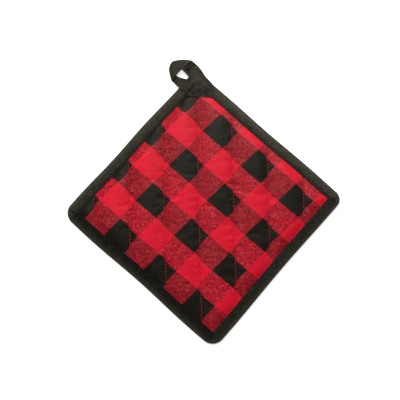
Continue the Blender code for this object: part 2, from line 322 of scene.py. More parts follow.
class Side:
    """One straight side of the square before the thread draws it in."""

    def __init__(self, index):
        self.width, self.wave, self.deepest, self.wave_length, self.shade = SIDES[index][1:]
        self.start = Vector(CORNERS[index][1:3])
        self.run = Vector(CORNERS[(index + 1) % SIDE_COUNT][1:3]) - self.start
        self.length = self.run.length
        self.run.normalize()
        self.inward = Vector((self.run.y, -self.run.x))

    def depth(self, point):
        return (point - self.start).dot(self.inward)

    def draw_in(self, point):
        """How far the thread pulls a point away from this side."""
        along = (point - self.start).dot(self.run)
        fade = max(0.0, 1.0 - max(0.0, self.depth(point)) / DRAWN_DEPTH)
        turn = 2 * math.pi * (along - self.deepest) / self.wave_length
        return self.inward * (self.wave * math.cos(turn) * fade)


OUTLINE = [Side(index) for index in range(SIDE_COUNT)]


def drawn(point):
    """A point of the true square, moved to where the thread draws it."""
    moved = point.copy()
    for side in OUTLINE:
        moved += side.draw_in(point)
    return moved


def crossing(first, first_depth, second, second_depth):
    """Where two sides meet once each is moved in by its own depth."""
    a = first.start + first.inward * first_depth
    b = second.start + second.inward * second_depth
    gap = b - a
    bottom = first.run.x * second.run.y - first.run.y * second.run.x
    return a + first.run * ((gap.x * second.run.y - gap.y * second.run.x) / bottom)


def corner_arc(index, before_depth, after_depth, stations):
    """Points round one corner of the outline, moved in by a depth on each side of it."""
    before = OUTLINE[index - 1]
    after = OUTLINE[index]
    radius = max(CORNERS[index][3] - 0.5 * (before_depth + after_depth), TIGHTEST_CORNER)
    centre = crossing(before, before_depth + radius, after, after_depth + radius)
    start = math.atan2(-before.inward.y, -before.inward.x)
    end = math.atan2(-after.inward.y, -after.inward.x)
    if end > start:
        end -= 2 * math.pi
    arc = []
    for step in range(stations + 1):
        turn = start + (end - start) * step / stations
        arc.append(centre + radius * Vector((math.cos(turn), math.sin(turn))))
    return arc


def ring(share, side_stations, corner_stations):
    """The closed outline moved in by a share of each side's binding width."""
    depths = [side.width * share for side in OUTLINE]
    points = []
    for index in range(SIDE_COUNT):
        after = (index + 1) % SIDE_COUNT
        arc = corner_arc(index, depths[index - 1], depths[index], corner_stations)
        next_arc = corner_arc(after, depths[index], depths[after], corner_stations)
        points += arc
        for step in range(1, side_stations):
            points.append(arc[-1].lerp(next_arc[0], step / side_stations))
    return points


def beyond_lip(point):
    """How far inside the binding's folded edge a point lies; negative under the binding."""
    return min(side.depth(point) - side.width for side in OUTLINE)


def ease(share):
    """A share from 0 to 1 that starts and ends gently."""
    share = min(max(share, 0.0), 1.0)
    return share * share * (3 - 2 * share)


# The pad's two faces

RIM_INSET = 2.0
RIM_SHOULDER = 3.4
CORNER_CUT = 9.5
LIP_CLEARANCE = 0.35
EDGE_TOP = 4.85
EDGE_UNDER = 1.55
RIM_TOP = 3.7
RIM_UNDER = 2.5
UNDER_SLOPE = 3.0
TOP_SLOPE = 14.0
GROOVE_DEPTH = 1.1
GROOVE_HALF_WIDTH = 4.0
PUFF_FULLNESS = 2.4
PRESSED_TOP = 6.0
PRESSED_FROM_Y = 104.0
PRESSED_FULL_Y = 113.0
SEAM_ORIGIN_X = -4.8
SEAM_REACH = 4
# Length of the cloth before it is cut, and how far each way from its middle seams are sewn.
CLOTH_LENGTH = 310.0
STITCHED_REACH = 150.0
# How far inside the binding a seam ends, and how high its stitches stand over the two faces.
SEAM_END = 0.3
STITCH_OVER = 0.26
STITCH_UNDER = -0.12
CREASE_REACH = 4.5
SEAM_HALF_WIDTH = 0.8
SAG_LENGTH = 30.0
TAKE_UP = 1.5
TAKE_UP_REACH = 1.5
# How far from a seam the cloth is darkened, as painted shade in the seam's groove and needle holes.
SEAM_SHADE_REACH = 0.9
# Distances from a seam at which the cloth has a column of points, out to the middle of a channel.
CHANNEL_COLUMNS = (0.0, 0.8, 1.8, 3.2, 5.0, 7.4, 10.4, 14.0, 17.8)
# The simulation that lets the filling push the face up between its seams.
HELD_BESIDE_SEAM = 0.4
HELD_AT_LIP = 0.6
SETTLE_FRAMES = 8
FURTHEST_MOVE = 0.45 * MM
CLOTH_SETTINGS = {
    "quality": 8,
    "mass": 0.2,
    "tension_stiffness": 30,
    "compression_stiffness": 30,
    "shear_stiffness": 10,
    "bending_stiffness": 0.4,
    "tension_damping": 10,
    "compression_damping": 10,
    "air_damping": 5,
    "use_pressure": True,
    "uniform_pressure_force": 6.0,
    "shrink_min": -0.01,
    "vertex_group_mass": "held",
    "pin_stiffness": 5,
}


class Quilting:
    """Where the quilting seams run and how high the cloth stands between them."""

    def __init__(self, sizes):
        self.pitch = sizes.seam_pitch / MM
        self.puff = sizes.puff_top / MM
        self.held = sizes.seam_top / MM
        self.crease_depth = sizes.crease_depth / MM
        self.crease_length = sizes.crease_length / MM
        self.sag = sizes.sag / MM
        turn = sizes.seam_turn
        self.across = Vector((math.cos(turn), math.sin(turn)))
        self.along = Vector((-self.across.y, self.across.x))
        self.origin = Vector((SEAM_ORIGIN_X, 0.0))

    def place(self, point):
        """Nearest seam's number, signed distance from it, and distance along it."""
        offset = point - self.origin
        across = offset.dot(self.across)
        seam = round(across / self.pitch)
        return seam, across - seam * self.pitch, offset.dot(self.along)

    def point(self, seam, along):
        return self.origin + self.across * (seam * self.pitch) + self.along * along

    def crease(self, point, side):
        """Relief of the creases that a seam's thread draws into the cloth."""
        seam, off, along = self.place(point)
        away = abs(off)
        hand = 1 if off > 0 else -1
        wander = 1.5 * ripple(along / 9.0, away / 6.0, seam + 3.1 * hand)
        seed = 5.7 * seam + 1.9 * hand + side
        fine = ripple((along + wander) / self.crease_length, away / 14.0, seed)
        share = math.exp(-away / CREASE_REACH) * (1 - math.exp(-away / SEAM_HALF_WIDTH))
        return self.crease_depth * 1.6 * fine * share

    def cloth_point(self, point):
        """Where a point of the face lies in the cloth, which is steepest beside a seam."""
        seam, off, along = self.place(point)
        away = abs(off)
        half = self.pitch / 2
        whole = 1 - math.exp(-half / TAKE_UP_REACH)
        gathered = 1 - math.exp(-away / TAKE_UP_REACH) - whole * away / half
        uneven = 1 + 0.5 * ripple(along / 6.0, seam * 2.7, 1.5)
        return point + self.across * math.copysign(TAKE_UP * gathered * uneven, off)

    def top(self, point):
        _, off, _ = self.place(point)
        share = min(abs(off) / (self.pitch / 2), 1.0)
        puff = 1.0 - (1.0 - share) ** PUFF_FULLNESS
        uneven = ripple(point.x / SAG_LENGTH, point.y / SAG_LENGTH, 4.0)
        free = self.held + (self.puff - self.held) * puff
        free += self.sag * uneven * puff - 0.5 * self.sag * puff + self.crease(point, 0.0)
        inside = max((beyond_lip(point) - LIP_CLEARANCE) / TOP_SLOPE, 0.0)
        rise = 1.0 - (1.0 - min(inside, 1.0)) ** PUFF_FULLNESS
        height = EDGE_TOP + (free - EDGE_TOP) * rise
        pressed = (point.y - PRESSED_FROM_Y) / (PRESSED_FULL_Y - PRESSED_FROM_Y)
        height = min(height, self.puff + (PRESSED_TOP - self.puff) * ease(pressed))
        return self.at_rim(point, height, RIM_TOP)

    def under(self, point):
        _, off, _ = self.place(point)
        groove = GROOVE_DEPTH * (1.0 - min(abs(off) / GROOVE_HALF_WIDTH, 1.0)) ** 2
        groove += max(0.0, 0.5 * self.crease(point, 11.0))
        fall = (beyond_lip(point) - LIP_CLEARANCE) / (UNDER_SLOPE - LIP_CLEARANCE)
        height = EDGE_UNDER + (groove - EDGE_UNDER) * ease(fall)
        return self.at_rim(point, height, RIM_UNDER)

    def at_rim(self, point, height, rim_height):
        nearest = min(side.depth(point) for side in OUTLINE)
        shoulder = (nearest - RIM_INSET) / (RIM_SHOULDER - RIM_INSET)
        return rim_height + (height - rim_height) * min(max(shoulder, 0.0), 1.0)


def check_repeats(point):
    """How many repeats of the check lie between the cloth's origin and a point, warp then weft."""
    x = point.x / STRETCH_UNIT
    y = point.y / STRETCH_UNIT
    counts = []
    for _, middle, by_x, by_y, xx, xy, yy in STRIPES:
        straight = middle + by_x * point.x + by_y * point.y
        counts.append(straight + xx * x * x + xy * x * y + yy * y * y)
    return counts


def graded(distance, pitch, uniform_step):
    """Moves an evenly spaced column so that columns stand closer together beside a seam."""
    steps = distance / uniform_step
    per_channel = 2 * (len(CHANNEL_COLUMNS) - 1)
    seam = math.floor(steps / per_channel + 0.5)
    place = round(steps - seam * per_channel)
    hand = 1 if place >= 0 else -1
    scale = pitch / 2 / CHANNEL_COLUMNS[-1]
    return seam * pitch + hand * CHANNEL_COLUMNS[abs(place)] * scale


# Materials


# Colour of the light that cotton fibres throw back, and of the loose lint on them.
COTTON_GLOSS = (1.0, 0.93, 0.76, 1.0)
LINT = (0.5, 0.47, 0.38)
LINT_SIZE = 0.0011
# Yarns in a metre of tape, and radians that the thread twists in a metre.
TAPE_YARNS = 1700.0
PLY_TWIST = 16000.0
RED_FLUFF = (0.95, 0.30, 0.40)
FLOOR_GLOW = 0.75


def forward(operation):
    """A method that works on an amount, and on another value after it if there is one."""
    def method(self, *others):
        values = dict(enumerate((self, *others)))
        return self.finish.node("ShaderNodeMath", {"operation": operation}, values)
    return method


def reflected(operation):
    """A method that works on a value and the amount after it."""
    def method(self, other):
        return self.finish.node("ShaderNodeMath", {"operation": operation}, {0: other, 1: self})
    return method


class Amount:
    """A number or colour that varies over a surface and can be used in sums."""

    def __init__(self, finish, socket):
        self.finish = finish
        self.socket = socket

    __add__ = forward("ADD")
    __radd__ = reflected("ADD")
    __sub__ = forward("SUBTRACT")
    __rsub__ = reflected("SUBTRACT")
    __mul__ = forward("MULTIPLY")
    __rmul__ = reflected("MULTIPLY")
    __truediv__ = forward("DIVIDE")
    __pow__ = forward("POWER")
    __gt__ = forward("GREATER_THAN")
    __lt__ = forward("LESS_THAN")
    floor = forward("FLOOR")
    fraction = forward("FRACT")
    sine = forward("SINE")


class Finish:
    """One material, built from sums of amounts."""

    def __init__(self, name, roughness, sheen, sheen_roughness):
        self.material = bpy.data.materials.new(name)
        self.material.use_nodes = True
        self.tree = self.material.node_tree
        self.shader = self.tree.nodes["Principled BSDF"]
        constants = {
            "Roughness": roughness,
            "Metallic": 0.0,
            "Sheen Weight": sheen,
            "Sheen Roughness": sheen_roughness,
            "Sheen Tint": COTTON_GLOSS,
            "Specular IOR Level": 0.2,
            "Specular Tint": COTTON_GLOSS,
        }
        for socket, value in constants.items():
            self.shader.inputs[socket].default_value = value

    def node(self, kind, settings, values, output=0):
        """Adds one node: its settings first, then the values or links of its sockets."""
        made = self.tree.nodes.new(kind)
        for key, setting in settings.items():
            setattr(made, key, setting)
        for key, value in values.items():
            self.feed(made.inputs[key], value)
        return Amount(self, made.outputs[output])

    def feed(self, socket, value):
        if isinstance(value, Amount):
            self.tree.links.new(value.socket, socket)
        else:
            socket.default_value = value

    def plain(self, colour):
        """One colour, ready for sums."""
        return self.mixed(0.0, tuple(colour), tuple(colour))

    def mixed(self, share, first, second):
        """A colour between two others."""
        first = (*first, 1.0) if isinstance(first, tuple) else first
        second = (*second, 1.0) if isinstance(second, tuple) else second
        return self.node(
            "ShaderNodeMix", {"data_type": "RGBA"}, {0: share, 6: first, 7: second}, output=2,
        )

    def darkened(self, colour, share):
        """A colour times an amount."""
        return self.node(
            "ShaderNodeVectorMath", {"operation": "SCALE"}, {0: colour, 3: share},
        )

    def cloth_place(self):
        """Both counts of the UV map that follows the cloth."""
        place = self.node("ShaderNodeUVMap", {"uv_map": "cloth"}, {})
        return [self.node("ShaderNodeSeparateXYZ", {}, {0: place}, output) for output in (0, 1)]

    def painted(self, name):
        """An amount that the piece's own points carry."""
        return self.node("ShaderNodeAttribute", {"attribute_name": name}, {}, output="Fac")

    def each(self, first, second):
        """A random number for each whole pair of counts, from 0 to 1."""
        place = self.node("ShaderNodeCombineXYZ", {}, {0: first.floor(), 1: second.floor()})
        return self.node("ShaderNodeTexWhiteNoise", {"noise_dimensions": "2D"}, {"Vector": place})

    def mottle(self, size, detail):
        """Soft random blotches of about one size in metres, from 0 to 1."""
        place = self.node("ShaderNodeTexCoord", {}, {}, output="Object")
        return self.node(
            "ShaderNodeTexNoise", {}, {"Vector": place, "Scale": 1 / size, "Detail": detail},
        )

    def dressed(self, colour, height=None):
        """Feeds the shader its colour and any relief in metres, and gives the material."""
        self.feed(self.shader.inputs["Base Color"], colour)
        if height is not None:
            values = {"Strength": 1.0, "Distance": 1.0, "Height": height}
            self.feed(self.shader.inputs["Normal"], self.node("ShaderNodeBump", {}, values))
        return self.material


def weave(warp_yarns, weft_yarns, run, over, lean):
    """Share of warp on top, and the relief, of cloth in which each yarn passes over some of a run."""
    warp_off = warp_yarns.fraction() - 0.5
    weft_off = weft_yarns.fraction() - 0.5
    warp_round = 1.0 - warp_off * warp_off * 4.0
    weft_round = 1.0 - weft_off * weft_off * 4.0
    step = ((warp_yarns.floor() + weft_yarns.floor()) / run).fraction()
    warp_over = step < over
    lift = warp_over * 2.0 - 1.0
    warp_top = (warp_round - weft_round + lift * 0.9 - lean) > 0.0
    relief = warp_top * warp_round + (1.0 - warp_top) * weft_round
    return warp_top, relief


def check_finish(colours):
    """Red and black twill whose stripes cross in both directions."""
    finish = Finish("check_twill", roughness=0.45, sheen=0.03, sheen_roughness=0.45)
    warp, weft = finish.cloth_place()
    warp_yarns = warp * YARNS_PER_REPEAT
    weft_yarns = weft * YARNS_PER_REPEAT
    float_noise = finish.each(warp_yarns, weft_yarns)
    knots = finish.each(warp_yarns / KNOT_YARNS, weft_yarns / KNOT_YARNS)
    lean = 0.28 + (float_noise - 0.5) * 1.2 + (knots - 0.5) * 1.5
    warp_top, relief = weave(warp_yarns, weft_yarns, run=4.0, over=0.49, lean=lean)
    red = tuple(colours.red)
    black = tuple(colours.black)
    warp_colour = finish.mixed(warp.fraction() < STRIPE_SHARE, black, red)
    weft_colour = finish.mixed(weft.fraction() < STRIPE_SHARE, black, red)
    yarns = finish.mixed(warp_top, weft_colour, warp_colour)
    slub = finish.mottle(0.0011, 3.0)
    wear = finish.mottle(0.03, 2.0)
    # The yarns' relief also darkens the cloth where they dip between each other: painted shade between
    # yarns.
    shade = 0.52 + relief * 0.2 + slub * 0.4 + wear * 0.08 + float_noise * 0.1 + knots * 0.16
    two_colours = (warp.fraction() < STRIPE_SHARE) - (weft.fraction() < STRIPE_SHARE)
    two_colours = two_colours * two_colours
    lint = finish.each(warp_yarns / LINT_YARNS + 0.5, weft_yarns / LINT_YARNS)
    fluff = lint ** 6.0 * two_colours
    shade = shade - two_colours * 0.09 + fluff * 0.25
    # Painted shade along the seams, less on the one-coloured squares.
    shade = shade * (1.0 - finish.painted("seam") * (0.14 + two_colours * 0.28))
    lint = lint ** 3.0 * (0.012 - two_colours * 0.006)
    cloth = finish.mixed(lint, finish.darkened(yarns, shade), LINT)
    cloth = finish.mixed(fluff * 0.07, cloth, RED_FLUFF)
    return finish.dressed(cloth, relief * 0.00007 + slub * 0.00005)


def tape_finish(colours):
    """Fine plain black cotton."""
    finish = Finish("black_cotton", roughness=0.45, sheen=0.06, sheen_roughness=0.4)
    along, across = finish.cloth_place()
    _, relief = weave(along * TAPE_YARNS, across * TAPE_YARNS, run=3.0, over=0.6, lean=0.1)
    slub = finish.mottle(0.0014, 3.0)
    wear = finish.mottle(0.012, 3.0)
    lit = 1.0 - finish.painted("shaded")
    # Paler where the points are painted so: partly wear and partly painted sheen at folds and hems,
    # and painted light on the loop's top arm. The yarns' relief darkens the cloth between them as
    # painted shade.
    shade = 0.3 + relief * 0.3 + slub * 0.9 + wear * 0.35 + finish.painted("wear_and_light") * 2.4
    lint = finish.each(along / LINT_SIZE, across / LINT_SIZE)
    cloth = finish.darkened(finish.plain(colours.tape), shade * lit)
    cloth = finish.mixed(lint ** 4.0 * 0.055 * lit, cloth, LINT)
    finish.feed(finish.shader.inputs["Roughness"], 0.95 - lit * 0.5)
    return finish.dressed(cloth, relief * 0.00009 + slub * 0.00016)


def thread_finish(name, colour):
    """Twisted sewing thread."""
    finish = Finish(name, roughness=0.55, sheen=0.1, sheen_roughness=0.4)
    along, across = finish.cloth_place()
    ply = (along * PLY_TWIST + across * 6.283).sine() * 0.5 + 0.5
    # The twist's grooves are darker: painted shade between the plies.
    shade = 0.7 + ply * 0.45
    return finish.dressed(finish.darkened(finish.plain(colour), shade), ply * 0.00004)


def floor_finish():
    """Plain pale tabletop."""
    finish = Finish("pale_floor", roughness=0.9, sheen=0.0, sheen_roughness=0.5)
    finish.shader.inputs["Emission Strength"].default_value = FLOOR_GLOW
    finish.shader.inputs["Emission Color"].default_value = (1.0, 1.0, 1.0, 1.0)
    tone = finish.mottle(0.4, 1.0)
    colour = finish.mixed(tone, (0.93, 0.93, 0.93), (0.95, 0.95, 0.95))
    return finish.dressed(colour)


# Meshes


def deselect_all():
    if bpy.context.object is not None and bpy.context.object.mode != "OBJECT":
        bpy.ops.object.mode_set(mode="OBJECT")
    bpy.ops.object.select_all(action="DESELECT")


def object_from(work, name, material, smooth_angle=60.0):
    """Turns a bmesh in millimetres into a finished object in metres."""
    bmesh.ops.scale(work, vec=Vector((MM, MM, MM)), verts=work.verts)
    mesh = bpy.data.meshes.new(name)
    work.to_mesh(mesh)
    work.free()
    mesh.materials.append(material)
    mesh.shade_smooth()
    mesh.set_sharp_from_angle(angle=math.radians(smooth_angle))
    piece = bpy.data.objects.new(name, mesh)
    bpy.context.scene.collection.objects.link(piece)
    return piece


def quad(work, cloth_map, verts, places):
    """Adds a face whose corners lie at places in the cloth, along and across, in millimetres."""
    face = work.faces.new(verts)
    for loop, place in zip(face.loops, places):
        loop[cloth_map].uv = (place[0] * MM, place[1] * MM)


def put_on(piece, node=None):
    """Ties a piece to the pot holder's body and, where it stands for a CAD node, hides that node."""
    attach(piece, "root")
    if node is not None:
        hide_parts(node)


class POTHOLDER_OT_pad(bpy.types.Operator):
    """Makes the quilted pad: two faces of check cloth with filling between them."""

    bl_idname = "pot_holder.pad"
    bl_label = "Quilted pad"

    def execute(self, context):
        sizes = context.scene.pad_sizes
        quilting = Quilting(sizes)
        work = bmesh.new()
        per_channel = 2 * (len(CHANNEL_COLUMNS) - 1)
        columns = (2 * SEAM_REACH + 1) * per_channel
        uniform_step = quilting.pitch / per_channel
        row_pitch = sizes.row_step / MM
        rows = math.ceil(CLOTH_LENGTH / row_pitch)
        bmesh.ops.create_grid(work, x_segments=columns, y_segments=rows, size=0.5)
        for vert in work.verts:
            off = graded(vert.co.x * columns * uniform_step, quilting.pitch, uniform_step)
            flat = quilting.origin + quilting.across * off
            flat += quilting.along * (vert.co.y * rows * row_pitch)
            vert.co = (flat.x, flat.y, 0.0)
        self.trim(work)
        held = work.verts.layers.deform.verify()
        # Each point's nearness to a seam, by which the cloth gets painted shade along the seam's
        # groove.
        seam = work.verts.layers.float.new("seam")
        for vert in work.verts:
            off = quilting.place(vert.co.xy)[1]
            vert[seam] = hump(off, SEAM_SHADE_REACH)
        weave_map = work.loops.layers.uv.new("cloth")
        for face in work.faces:
            for loop in face.loops:
                loop[weave_map].uv = check_repeats(quilting.cloth_point(loop.vert.co.xy))
        under = work.verts[:]
        raised = bmesh.ops.extrude_face_region(work, geom=work.faces[:], use_keep_orig=True)
        top = [item for item in raised["geom"] if isinstance(item, bmesh.types.BMVert)]
        for vert in under:
            vert[held][0] = 1.0
        for vert in top:
            flat = vert.co.xy
            beside_seam = abs(quilting.place(flat)[1]) < HELD_BESIDE_SEAM
            vert[held][0] = float(beside_seam or beyond_lip(flat) < HELD_AT_LIP)
        for verts, height in ((under, quilting.under), (top, quilting.top)):
            for vert in verts:
                flat = vert.co.xy
                moved = drawn(flat)
                vert.co = (moved.x, moved.y, height(flat))
        bmesh.ops.recalc_face_normals(work, faces=work.faces)
        material = check_finish(context.scene.cloth_colours)
        pad = object_from(work, "quilted_cloth", material)
        pad.vertex_groups.new(name="held")
        self.fill(context, pad)
        deselect_all()
        context.view_layer.objects.active = pad
        smoother = pad.modifiers.new("smoother", "SUBSURF")
        smoother.levels = smoother.render_levels = 1
        bpy.ops.object.modifier_apply(modifier=smoother.name)
        put_on(pad, "quilted_pad")
        return {"FINISHED"}

    def fill(self, context, pad):
        """Lets the filling push the face up as cloth, held along its seams and under the binding."""
        before = [vert.co.copy() for vert in pad.data.vertices]
        context.view_layer.objects.active = pad
        cloth = pad.modifiers.new("cloth", "CLOTH")
        for name, setting in CLOTH_SETTINGS.items():
            setattr(cloth.settings, name, setting)
        cloth.settings.effector_weights.gravity = 0
        cloth.collision_settings.use_collision = False
        for frame in range(1, SETTLE_FRAMES + 1):
            context.scene.frame_set(frame)
        deselect_all()
        bpy.ops.object.modifier_apply(modifier=cloth.name)
        for vert, start in zip(pad.data.vertices, before):
            move = vert.co - start
            if move.length > 0:
                capped = FURTHEST_MOVE * math.tanh(move.length / FURTHEST_MOVE)
                vert.co = start + move.normalized() * capped
        context.scene.frame_set(1)

    def trim(self, work):
        """Cuts the flat cloth to the square, with its corners off."""
        cuts = []
        for index, side in enumerate(OUTLINE):
            cuts.append((side.start + side.inward * RIM_INSET, -side.inward, True))
            cuts.append((side.start + side.inward * RIM_SHOULDER, -side.inward, False))
            before = OUTLINE[index - 1]
            outward = -(side.inward + before.inward).normalized()
            cuts.append((side.start - outward * CORNER_CUT, outward, True))
            cuts.append((side.start + side.inward * (side.width + LIP_CLEARANCE), -side.inward, False))
        for point, outward, clear in cuts:
            bmesh.ops.bisect_plane(
                work,
                geom=work.verts[:] + work.edges[:] + work.faces[:],
                dist=1e-4,
                plane_co=(point.x, point.y, 0.0),
                plane_no=(outward.x, outward.y, 0.0),
                clear_outer=clear,
            )


def stitch_shape(length, thickness, rise):
    """Models one stitch along X: a rounded bar whose ends go down into the cloth."""
    deselect_all()
    bpy.ops.mesh.primitive_cylinder_add(
        vertices=8, radius=thickness / 2, depth=length, rotation=(0.0, math.pi / 2, 0.0),
        calc_uvs=False,
    )
    bpy.ops.object.transform_apply(location=True, rotation=True, scale=True)
    stitch = bpy.context.object
    for face in stitch.data.polygons:
        face.select = abs(face.normal.x) > 0.9
    bpy.ops.object.mode_set(mode="EDIT")
    bpy.ops.mesh.select_mode(type="FACE")
    bpy.ops.mesh.bevel(offset=thickness * 0.3, segments=1, affect="EDGES")
    bpy.ops.mesh.select_all(action="SELECT")
    bpy.ops.mesh.bisect(plane_co=(0.0, 0.0, 0.0), plane_no=(1.0, 0.0, 0.0))
    bpy.ops.object.mode_set(mode="OBJECT")
    for vert in stitch.data.vertices:
        bend = (2 * vert.co.x / length) ** 2
        vert.co.z = vert.co.z * 0.8 - rise * bend
    return stitch


def sewn(name, stitch, places, material):
    """Copies one stitch to every place and gives them as one piece."""
    work = bmesh.new()
    ply_map = work.loops.layers.uv.new("cloth")
    for place in places:
        before = len(work.verts)
        work.from_mesh(stitch.data)
        work.verts.ensure_lookup_table()
        new_verts = work.verts[before:]
        for vert in new_verts:
            turn = math.atan2(vert.co.z, vert.co.y) / (2 * math.pi)
            for loop in vert.link_loops:
                loop[ply_map].uv = (vert.co.x, turn)
        bmesh.ops.transform(work, matrix=place, verts=new_verts)
    for vert in work.verts:
        vert.co /= MM
    bmesh.ops.recalc_face_normals(work, faces=work.faces)
    piece = object_from(work, name, material, smooth_angle=70.0)
    bpy.data.objects.remove(stitch, do_unlink=True)
    return piece


def stitch_place(here, ahead, facing, tilt=0.0):
    """Where a stitch lies: its middle, turned along the seam, and its back up or down."""
    run = (ahead - here).normalized()
    up = Vector((0.0, 0.0, facing))
    side = up.cross(run).normalized()
    up = run.cross(side)
    turn = Matrix((run, side, up)).transposed().to_4x4()
    middle = (here + ahead) / 2
    return Matrix.Translation(middle * MM) @ turn @ Matrix.Rotation(tilt, 4, "Z")


class POTHOLDER_OT_quilting(bpy.types.Operator):
    """Sews the quilting seams through both faces with red thread."""

    bl_idname = "pot_holder.quilting"
    bl_label = "Quilting thread"

    def execute(self, context):
        sizes = context.scene.thread_sizes
        quilting = Quilting(context.scene.pad_sizes)
        places = []
        pitch = sizes.quilt_pitch / MM
        shown = sizes.quilt_length / MM
        count = math.ceil(STITCHED_REACH / pitch)
        for seam in range(-SEAM_REACH, SEAM_REACH + 1):
            for step in range(-count, count + 1):
                jitter = 0.25 * ripple(step * 1.7, seam * 3.3, 0.5)
                start = quilting.point(seam, step * pitch + jitter)
                end = quilting.point(seam, step * pitch + shown + jitter)
                if min(beyond_lip(start), beyond_lip(end)) < SEAM_END:
                    continue
                faces = ((quilting.top, 1, STITCH_OVER), (quilting.under, -1, STITCH_UNDER))
                for height, facing, clear in faces:
                    here = Vector((*drawn(start), height(start) + clear))
                    ahead = Vector((*drawn(end), height(end) + clear))
                    places.append(stitch_place(here, ahead, facing, tilt=0.05 * jitter))
        stitch = stitch_shape(sizes.quilt_length, sizes.thickness, 0.15 * MM)
        material = thread_finish("red_thread", context.scene.cloth_colours.quilt_thread)
        thread = sewn("quilting_thread", stitch, places, material)
        put_on(thread)
        return {"FINISHED"}


class Binding:
    """The folded strip round the pad."""

    def __init__(self, sizes):
        self.side_stations = sizes.side_stations
        self.corner_stations = sizes.corner_stations
        self.wave_depth = sizes.wave_depth / MM
        self.mitre_depth = sizes.mitre_depth / MM
        self.per_side = self.corner_stations + self.side_stations
        outer = self.ring(0.5)
        self.travel = [0.0]
        for here, ahead in zip(outer, outer[1:]):
            self.travel.append(self.travel[-1] + (ahead - here).length)

    def ring(self, share):
        """The strip's points all round, at a share of its width."""
        return ring(share, self.side_stations, self.corner_stations)

    def relief(self, share, station):
        """How far the top of the strip stands above or below its even section."""
        travel = self.travel[station]
        slanted = ripple(travel / 5.0 + share * 1.6, share * 0.8, 2.0)
        broad = ripple(travel / 21.0, share * 0.7, 7.0)
        from_seam = share - STITCH_LINE_SHARE
        pull = ripple(travel / 2.6, share * 1.5, 9.0) * hump(from_seam, 0.14)
        held = hump(from_seam, 0.05)
        lift = self.wave_depth * (0.7 * broad + 0.45 * slanted + 0.5 * pull)
        return lift * (1 - 0.6 * held) - 0.32 * held + self.mitre(share, station)

    def mitre(self, share, station):
        """Relief of the diagonal fold at each corner, deepest at its middle."""
        corner, place = divmod(station, self.per_side)
        off = place / self.corner_stations * 2 - 1
        if off > 3:
            off -= 2 * self.per_side / self.corner_stations
            corner = (corner + 1) % SIDE_COUNT
        fold = -hump(off, 0.16)
        flap = 0.8 * hump(off - 0.45, 0.35) if off > 0 else 0.0
        return CORNERS[corner][4] * self.mitre_depth * (fold + 0.6 * flap) * ease(share * 3)

    def shade(self, share, station):
        """How far the puffs keep light from the strip, passing gently from side to side."""
        side, place = divmod(station, self.per_side)
        past_corner = ease(place / self.corner_stations)
        before = OUTLINE[side - 1].shade
        here = before + (OUTLINE[side].shade - before) * past_corner
        return here * (0.35 + 0.65 * ease(share))

    def top_point(self, share, station, points):
        """A point on the strip's upper face."""
        moved = drawn(points[station])
        height = STITCH_LINE_HEIGHT + self.relief(share, station)
        return Vector((moved.x, moved.y, height))


class POTHOLDER_OT_binding(bpy.types.Operator):
    """Makes the binding: one strip of black cloth folded round the edge of the pad."""

    bl_idname = "pot_holder.binding"
    bl_label = "Binding"

    def execute(self, context):
        binding = Binding(context.scene.loop_sizes)
        work = bmesh.new()
        cloth_map = work.loops.layers.uv.new("cloth")
        loops = []
        travel_across = [0.0]
        for before, row in zip(BINDING_SECTION, BINDING_SECTION[1:]):
            step = math.hypot((row[0] - before[0]) * MEAN_WIDTH, row[1] - before[1])
            travel_across.append(travel_across[-1] + step)
        wear_and_light = work.verts.layers.float.new("wear_and_light")
        shaded = work.verts.layers.float.new("shaded")
        for share, height, lifted in BINDING_SECTION:
            points = binding.ring(share)
            loop = []
            for station, point in enumerate(points):
                moved = drawn(point)
                lift = lifted * binding.relief(share, station) if lifted else 0.0
                vert = work.verts.new((moved.x, moved.y, height + lift))
                # Paler towards the outer fold: partly wear, partly painted sheen.
                vert[wear_and_light] = FOLD_WEAR_AND_SHEEN * hump(share, FOLD_WEAR_AND_SHEEN_SHARE)
                vert[shaded] = binding.shade(share, station)
                loop.append(vert)
            loops.append(loop)
        count = len(loops[0])
        total = len(loops)
        for row in range(total):
            following = (row + 1) % total
            for place in range(count):
                after = (place + 1) % count
                verts = (
                    loops[row][place], loops[row][after],
                    loops[following][after], loops[following][place],
                )
                start = binding.travel[place]
                end = binding.travel[after] if after else start + CLOSING_STEP
                low = travel_across[row]
                high = travel_across[following] if following else low + CLOSING_FOLD
                corners = ((start, low), (end, low), (end, high), (start, high))
                quad(work, cloth_map, verts, corners)
        bmesh.ops.recalc_face_normals(work, faces=work.faces)
        material = tape_finish(context.scene.cloth_colours)
        strip = object_from(work, "folded_binding", material)
        put_on(strip, "binding")
        return {"FINISHED"}


def smooth_between(before, start, end, after, share):
    """A point on the smooth curve through four points in turn."""
    square = share * share
    cube = square * share
    return 0.5 * (
        2 * start
        + (end - before) * share
        + (2 * before - 5 * start + 4 * end - after) * square
        + (3 * start - before - 3 * end + after) * cube
    )


def tape_stations():
    """Left edge, right edge and bow of the tape's middle surface, station by station."""
    left = [Vector(row[1:4]) for row in LOOP_ROWS]
    right = [Vector(row[4:7]) for row in LOOP_ROWS]
    bow = [Vector((row[7], row[8], 0.0)) for row in LOOP_ROWS]
    lines = (left, right, bow)
    stations = []
    last = len(LOOP_ROWS) - 1
    for index in range(last):
        steps = LOOP_ROWS[index][9] * LOOP_STEP_SPLIT
        places = (max(index - 1, 0), index, index + 1, min(index + 2, last))
        for step in range(steps):
            share = step / steps
            stations.append(tuple(
                smooth_between(*(line[place] for place in places), share) for line in lines
            ))
    stations.append(tuple(line[last] for line in lines))
    return stations


def tape_section():
    """Shares across the tape and of its thickness, with a point between each two of the table."""
    section = []
    for here, ahead in zip(TAPE_PROFILE, TAPE_PROFILE[1:]):
        section.append(here)
        section.append(((here[0] + ahead[0]) / 2, (here[1] + ahead[1]) / 2))
    section.append(TAPE_PROFILE[-1])
    return section


